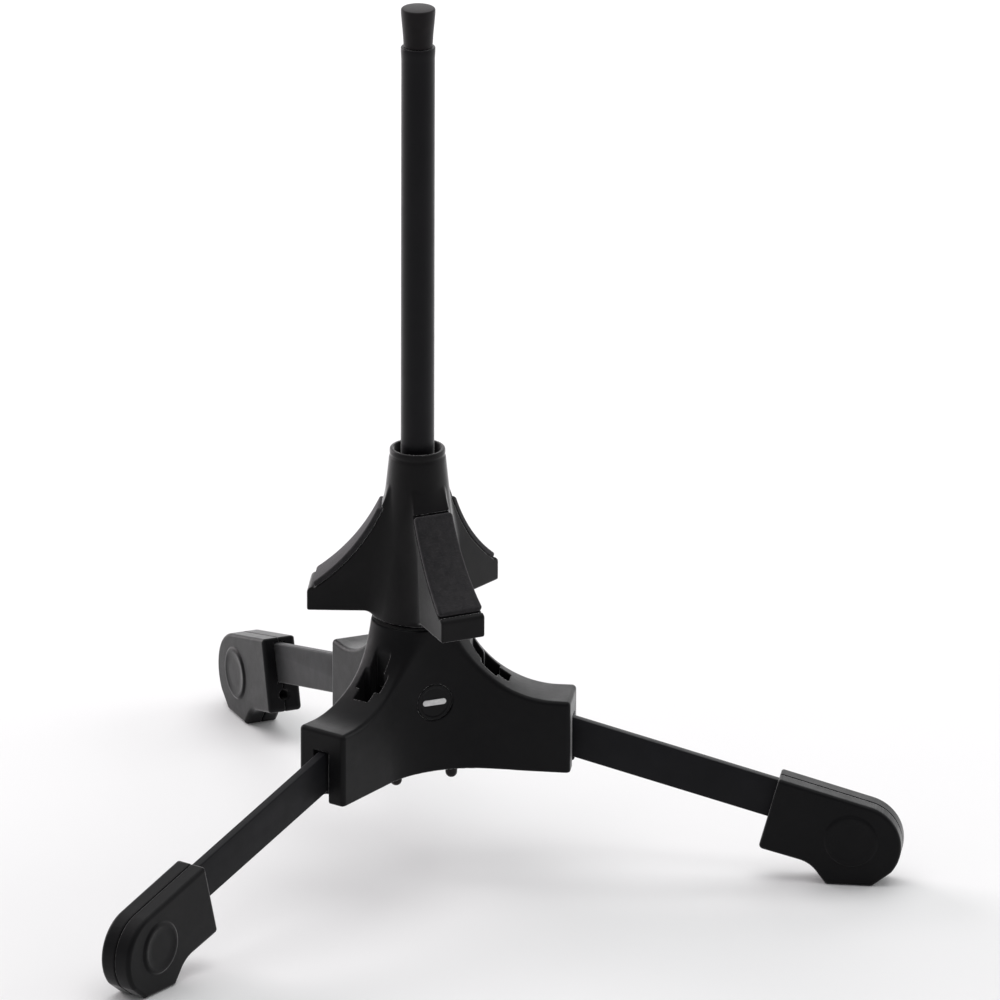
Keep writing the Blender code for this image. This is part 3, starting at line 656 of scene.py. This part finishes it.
def add_peg(coat, rubber):
    low, high, inner = TUBE_LOW.z, TUBE_HIGH.z, TUBE_R - TUBE_WALL
    outline = [(inner, low, 0.0), (TUBE_R, low, 0.3), (TUBE_R, high - 5.0, 9.0)]
    outline += [(TUBE_R + TUBE_LIP, high - 2.4, 9.0), (TUBE_R + TUBE_LIP, high, 0.5)]
    outline += [(inner, high, 0.3)]
    mesh = turned("tube_finish", filleted(outline, 4))
    add_piece("tube_finish", mesh, "peg", ["peg_tube"], coat, stand_frame())
    fit = inner - GAP / 2
    foot, head, edge = PLUG_FOOT_RADIUS, PLUG_HEAD_RADIUS, PLUG_HEAD_EDGE
    plug = [(0.0, high - PLUG_STEM), (fit, high - PLUG_STEM), (fit, high + GAP)]
    plug += [(foot, high + GAP + 0.05), (foot + 0.1, high + 1.4), (foot + 0.3, high + 5.0)]
    plug += [(foot + 0.75, high + 10.0), (head, PLUG_TOP - 2.4)]
    plug += arc((head - edge, PLUG_TOP - 1.1), edge, 0.0, math.radians(85.0), 8)
    plug += [(4.6, PLUG_TOP - 0.12), (2.6, PLUG_TOP - 0.03), (0.0, PLUG_TOP)]
    mesh = turned("plug_cap", plug, 80)
    add_piece("plug_cap", mesh, "peg", ["peg_end_plug"], rubber, stand_frame())


# ---- bell cone and pads -----------------------------------------------------------------


def width_at(along, widths, start, end):
    """A half width that goes from widths[0] at the start to widths[1] at the end."""
    return widths[0] + (widths[1] - widths[0]) * np.clip((along - start) / (end - start), 0.0, 1.0)


def flare(along, z):
    """Distance and angle about the centre of the arc that the fins' outer edges follow."""
    out, up = along - FLARE_CENTRE[0], z - FLARE_CENTRE[1]
    return np.hypot(out, up), np.arctan2(up, out) % (2 * math.pi)


def past_pad_ends(along, z):
    """Distance beyond a pad's ends, and how far from its middle, with the ends at 1."""
    middle = sum(PAD_ANGLES) / 2
    half_length = PAD_INNER * (PAD_ANGLES[1] - PAD_ANGLES[0]) / 2
    run = PAD_INNER * np.abs(flare(along, z)[1] - middle)
    return run - half_length, run / half_length


def cone_distance(x, y, z):
    along, across, r = folded(x, y)
    rise = CONE_HIGH.z - CONE_LOW.z
    run = CONE_R[0] - CONE_R[1]
    wall = ((r - CONE_R[0]) * rise + (z - CONE_LOW.z) * run) / math.hypot(rise, run)
    groove = RIM_GROOVE[0] * np.exp(-(((z - RIM_GROOVE_Z) / RIM_GROOVE[1]) ** 2))
    cone = both(both(wall + groove, z - CONE_HIGH.z, RIM_EDGE), CONE_LOW.z - z, CONE_EDGE)
    from_flare = flare(along, z)[0]
    fin = both(FIN_OUTER - from_flare, along - FIN_END_R, FIN_EDGE)
    fin = both(fin, FIN_BASE_Z - z, CONE_EDGE)
    fade = np.clip((z - FIN_FADE[0]) / (FIN_TOP_Z - FIN_FADE[0]), 0.0, 1.0)
    fin_w = width_at(along, FIN_HALF_W, CONE_R[0], FIN_END_R) - FIN_FADE[1] * fade * fade
    fin = both(both(fin, np.abs(across) - fin_w, FIN_EDGE), z - FIN_TOP_Z, FIN_TOP_EDGE)
    lowness = np.clip((FIN_TOP_Z - 8.0 - z) / 20.0, 0.0, 1.0)
    cone = either(cone, fin, FIN_BLEND[1] + (FIN_BLEND[0] - FIN_BLEND[1]) * lowness)
    recess = past_pad_ends(along, z)[0] - PAD_MARGIN
    cone = without(cone, both(recess, from_flare - PAD_INNER - GAP, 0.3), RECESS_EDGE)
    hollow = both(PAD_INNER + GAP + FIN_WALL - from_flare, along - FIN_END_R + FIN_WALL)
    hollow = np.maximum(hollow, np.abs(across) - fin_w + FIN_WALL)
    hollow = np.maximum(hollow, np.maximum(0.6 - wall, z - HOLLOW_TOP_Z))
    bore = np.minimum(np.maximum(wall + CONE_WALL, z - CONE_HIGH.z + RIM_DEPTH), r - RIM_BORE)
    return without(cone, np.minimum(hollow, bore), 0.3)


def pad_distance(x, y, z):
    """A felt pad: crowned, rounded all round its face, and pulled in along its sides."""
    end, u = past_pad_ends(x, z)
    half_w = width_at(x, PAD_HALF_W, *PAD_TAPER_R)
    v = np.abs(y) / half_w
    plan = both(end, np.abs(y) - half_w, PAD_CORNER)
    plan = plan + PAD_SAG * np.clip(1.0 - u * u, 0.0, 1.0) * np.clip(v, 0.0, 1.0)
    crown = PAD_CROWN * np.clip(1.0 - u**4, 0.0, 1.0) * np.clip(1.0 - v * v, 0.0, 1.0)
    from_flare = flare(x, z)[0]
    return both(both(plan, PAD_OUTER - crown - from_flare, PAD_EDGE), from_flare - PAD_INNER, 0.2)


def add_cone(plastic, felt):
    place = stand_frame(FIN_AZIMUTHS["a"])
    reach = FIN_END_R + 1.0
    low, high = (-reach * 0.65, -reach, CONE_LOW.z), (reach, reach, CONE_HIGH.z)
    mesh = surface("cone_moulding", cone_distance, low, high, CONE_STEP)
    add_piece("cone_moulding", mesh, "cone", ["bell_cone"], plastic, place)
    pad_low, pad_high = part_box("bell_pad_c")
    low, high = (8.0, -11.0, pad_low.z / MM - 1.0), (50.0, 11.0, pad_high.z / MM + 1.0)
    for tag in LEGS:
        name = f"felt_pad_{tag}"
        mesh = surface(name, pad_distance, low, high, PAD_STEP)
        place = stand_frame(FIN_AZIMUTHS[tag])
        pad = add_piece(name, mesh, "cone", [f"bell_pad_{tag}"], felt, place)


# ---- materials --------------------------------------------------------------------------

HUB_COLOURS = ((0.0042, 0.0042, 0.0048), (0.0058, 0.0056, 0.0062))  # the darkest and the lightest
# The cone's colours are lighter than the hub's. The difference is painted light, standing in for
# the extra light that falls on the cone up high.
CONE_PAINTED_LIGHT_COLOURS = ((0.006, 0.0058, 0.0062), (0.009, 0.0085, 0.009))
BAR_COLOURS = ((0.005, 0.005, 0.006), (0.008, 0.008, 0.010))
TUBE_COLOURS = ((0.005, 0.0048, 0.006), (0.007, 0.0066, 0.008))
BADGE_COLOURS = ((0.004, 0.004, 0.0045), (0.006, 0.006, 0.0065))
SCREW_COLOURS = ((0.014, 0.012, 0.012), (0.02, 0.018, 0.018))


class Nodes:
    """A small helper for wiring a Principled material."""

    def __init__(self, name, **sockets):
        self.material = bpy.data.materials.new(name)
        self.material.use_nodes = True
        self.tree = self.material.node_tree
        self.shader = self.tree.nodes["Principled BSDF"]
        self.place = self.add("ShaderNodeTexCoord").outputs["Object"]
        for socket, value in sockets.items():
            self.shader.inputs[socket.replace("_", " ")].default_value = value

    def add(self, kind, **settings):
        node = self.tree.nodes.new(kind)
        for key, value in settings.items():
            setattr(node, key, value)
        return node

    def link(self, output, socket):
        self.tree.links.new(output, socket)

    def noise(self, size_mm, detail=3.0, roughness=0.55, stretch=None):
        """Noise whose features are about that size."""
        node = self.add("ShaderNodeTexNoise")
        node.inputs["Scale"].default_value = 1.0 / (size_mm * MM)
        node.inputs["Detail"].default_value = detail
        node.inputs["Roughness"].default_value = roughness
        place = self.place
        if stretch is not None:
            mapping = self.add("ShaderNodeMapping")
            mapping.inputs["Scale"].default_value = stretch
            self.link(self.place, mapping.inputs["Vector"])
            place = mapping.outputs["Vector"]
        self.link(place, node.inputs["Vector"])
        return node.outputs["Fac"]

    def ranged(self, value, low, high, start=0.3, end=0.7):
        """A value between low and high, as value goes from start to end."""
        node = self.add("ShaderNodeMapRange")
        self.link(value, node.inputs["Value"])
        node.inputs["From Min"].default_value = start
        node.inputs["From Max"].default_value = end
        node.inputs["To Min"].default_value = low
        node.inputs["To Max"].default_value = high
        return node.outputs["Result"]

    def mixed(self, share, a, b):
        """A colour between a and b."""
        node = self.add("ShaderNodeMix", data_type="RGBA")
        self.link(share, node.inputs["Factor"])
        for colour, socket in ((a, node.inputs[6]), (b, node.inputs[7])):
            if isinstance(colour, bpy.types.NodeSocket):
                self.link(colour, socket)
            else:
                socket.default_value = (*colour, 1.0)
        return node.outputs[2]

    def colour(self, value):
        self.link(value, self.shader.inputs["Base Color"])

    def rough(self, value):
        self.link(value, self.shader.inputs["Roughness"])

    def bump(self, height, depth_mm, before=None):
        node = self.add("ShaderNodeBump")
        node.inputs["Strength"].default_value = 1.0
        node.inputs["Distance"].default_value = depth_mm * MM
        self.link(height, node.inputs["Height"])
        if before is not None:
            self.link(before, node.inputs["Normal"])
        self.link(node.outputs["Normal"], self.shader.inputs["Normal"])
        return node.outputs["Normal"]


def moulded_plastic(name, colours, sheen):
    """Black plastic with a fine spark-eroded grain and faint mottling."""
    nodes = Nodes(name, Specular_IOR_Level=0.1, Sheen_Weight=sheen, Sheen_Roughness=0.3)
    mottle = nodes.noise(16.0)
    grain = nodes.noise(0.42, 2.0)
    nodes.colour(nodes.mixed(nodes.ranged(mottle, 0.0, 1.0), *colours))
    nodes.rough(nodes.ranged(nodes.noise(5.0), 0.36, 0.46))
    nodes.bump(grain, 0.035, nodes.bump(nodes.noise(2.2), 0.02))
    return nodes.material


def coated_metal(name, colours, rough, grain_mm, depth_mm, sheen=0.3):
    """Satin black powder coat with a faint orange peel."""
    nodes = Nodes(name, Specular_IOR_Level=0.12, Sheen_Weight=sheen, Sheen_Roughness=0.3)
    nodes.colour(nodes.mixed(nodes.ranged(nodes.noise(24.0), 0.0, 1.0), *colours))
    nodes.rough(nodes.ranged(nodes.noise(7.0), *rough))
    nodes.bump(nodes.noise(grain_mm, 2.0), depth_mm)
    return nodes.material


def rubber():
    nodes = Nodes("plug_rubber", Specular_IOR_Level=0.12, Sheen_Weight=0.35, Sheen_Roughness=0.4)
    mottle = nodes.ranged(nodes.noise(4.0), 0.0, 1.0)
    nodes.colour(nodes.mixed(mottle, (0.008, 0.007, 0.0075), (0.013, 0.011, 0.012)))
    nodes.rough(nodes.ranged(nodes.noise(2.0), 0.66, 0.82))
    nodes.bump(nodes.noise(0.3), 0.03)
    return nodes.material


def felt():
    """Black felt: matted fibres, a soft nap, and a slightly uneven tone."""
    nodes = Nodes("pad_felt", Specular_IOR_Level=0.15, Sheen_Weight=0.35, Sheen_Roughness=0.55)
    nodes.shader.inputs["Sheen Tint"].default_value = (0.55, 0.53, 0.55, 1.0)
    fibres = nodes.noise(0.55, 5.0, 0.7, (1.0, 0.35, 0.6))
    mottle = nodes.ranged(nodes.noise(3.5), 0.0, 1.0)
    tone = nodes.mixed(mottle, (0.010, 0.010, 0.011), (0.020, 0.019, 0.020))
    tips = nodes.ranged(fibres, 0.0, 0.6, 0.5, 0.75)
    nodes.colour(nodes.mixed(tips, tone, (0.040, 0.038, 0.040)))
    nodes.rough(nodes.ranged(fibres, 0.88, 1.0))
    nodes.bump(fibres, 0.16, nodes.bump(nodes.noise(2.6), 0.12))
    return nodes.material


def steel(name, colour, rough):
    nodes = Nodes(name, Metallic=1.0)
    nodes.colour(nodes.mixed(nodes.noise(3.0), colour, [c * 0.8 for c in colour]))
    nodes.rough(nodes.ranged(nodes.noise(0.8), *rough))
    nodes.bump(nodes.noise(0.5), 0.01)
    return nodes.material


def mark_paint():
    nodes = Nodes("mark_paint", Specular_IOR_Level=0.4)
    mottle = nodes.ranged(nodes.noise(1.2), 0.0, 1.0)
    nodes.colour(nodes.mixed(mottle, (0.78, 0.78, 0.77), (0.66, 0.66, 0.66)))
    nodes.rough(nodes.ranged(nodes.noise(0.8), 0.4, 0.55))
    nodes.bump(nodes.noise(0.35), 0.01)
    return nodes.material


# ---- studio -----------------------------------------------------------------------------

CAMERA_LENS = 564.4
CAMERA_DISTANCE = 6.540
CAMERA_AZIMUTH = math.radians(6.9187)
CAMERA_ELEVATION = math.radians(20.2)
CAMERA_ROLL = math.radians(0.2)
AIM_RIGHT = 0.03445  # the aim point, from the peg's axis
AIM_HEIGHT = 0.16085


def add_camera():
    data = bpy.data.cameras.new("camera")
    data.lens = CAMERA_LENS
    camera = bpy.data.objects.new("camera", data)
    bpy.context.scene.collection.objects.link(camera)
    turn = Matrix.Rotation(CAMERA_AZIMUTH, 4, "Z")
    aim = AXIS + (turn @ Vector((AIM_RIGHT, 0.0, 0.0))) + Vector((0.0, 0.0, AIM_HEIGHT))
    back = turn @ Vector((0.0, -math.cos(CAMERA_ELEVATION), math.sin(CAMERA_ELEVATION)))
    look = (-back).to_track_quat("-Z", "Y").to_matrix().to_4x4()
    roll = Matrix.Rotation(CAMERA_ROLL, 4, "Z")
    camera.matrix_world = Matrix.Translation(aim + back * CAMERA_DISTANCE) @ look @ roll
    data.clip_end = 100.0
    bpy.context.scene.camera = camera


def add_floor():
    mesh = bpy.data.meshes.new("floor")
    half = 8.0
    corners = [(-half, -half, 0), (half, -half, 0), (half, half, 0), (-half, half, 0)]
    mesh.from_pydata(corners, [], [(0, 1, 2, 3)])
    floor = bpy.data.objects.new("floor", mesh)
    bpy.context.scene.collection.objects.link(floor)
    nodes = Nodes("floor_paper", Specular_IOR_Level=0.1)
    nodes.colour(nodes.mixed(nodes.noise(180.0), (0.86, 0.86, 0.86), (0.84, 0.84, 0.84)))
    nodes.rough(nodes.ranged(nodes.noise(40.0), 0.85, 0.95))
    nodes.bump(nodes.noise(1.5), 0.02)
    mesh.materials.append(nodes.material)


def add_area(name, place, size, glow, tint=(1.0, 1.0, 1.0)):
    """A soft square light aimed at the middle of the stand. Its glow is its surface's radiance."""
    data = bpy.data.lights.new(name, "AREA")
    data.size = size
    data.energy = glow * math.pi * size * size
    data.color = tint
    light = bpy.data.objects.new(name, data)
    bpy.context.scene.collection.objects.link(light)
    middle = Vector((0.0, 0.0, 0.12))
    light.location = place
    light.rotation_euler = (middle - Vector(place)).to_track_quat("-Z", "Y").to_euler()


def add_studio():
    add_floor()
    add_area("top", (0.0, 0.2, 2.6), 3.0, 1.5)
    add_area("back", (0.3, 3.0, 1.3), 2.4, 1.7)
    add_area("left", (-2.4, 1.5, 1.0), 1.8, 5.5, (1.0, 0.94, 0.96))
    add_area("right", (2.4, 1.3, 1.0), 1.8, 2.2)
    world = bpy.data.worlds.new("studio")
    world.use_nodes = True
    world.node_tree.nodes["Background"].inputs["Color"].default_value = (0.9, 0.9, 0.92, 1.0)
    world.node_tree.nodes["Background"].inputs["Strength"].default_value = 0.4
    bpy.context.scene.world = world
    bpy.context.scene.view_settings.view_transform = "Standard"


def main():
    add_camera()
    add_studio()
    plastic = moulded_plastic("moulded_plastic", HUB_COLOURS, 0.45)
    # A lighter copy of the hub's plastic for the cone: its lighter colour is painted light.
    cone_plastic = moulded_plastic("cone_plastic", CONE_PAINTED_LIGHT_COLOURS, 0.8)
    bar_coat = coated_metal("bar_coat", BAR_COLOURS, (0.42, 0.52), 0.9, 0.02)
    tube_coat = coated_metal("tube_coat", TUBE_COLOURS, (0.36, 0.46), 0.7, 0.012, 0.5)
    inlay = coated_metal("badge_gloss", BADGE_COLOURS, (0.3, 0.4), 0.5, 0.006)
    black_screw = coated_metal("screw_oxide", SCREW_COLOURS, (0.4, 0.55), 0.5, 0.01)
    bare_steel = steel("bare_steel", (0.50, 0.50, 0.51), (0.28, 0.42))
    add_hub(plastic)
    add_base_plate(plastic, black_screw)
    add_badge(inlay, mark_paint())
    add_legs(plastic, bar_coat)
    add_peg(tube_coat, rubber())
    add_cone(cone_plastic, felt())
    pins = [f"{kind}_pin_{tag}" for kind in ("pivot", "foot") for tag in LEGS]
    for node in ["thread_bush", "peg_insert"] + pins:
        materials = frame["nodes"][node].data.materials
        materials.clear()
        materials.append(bare_steel)


main()
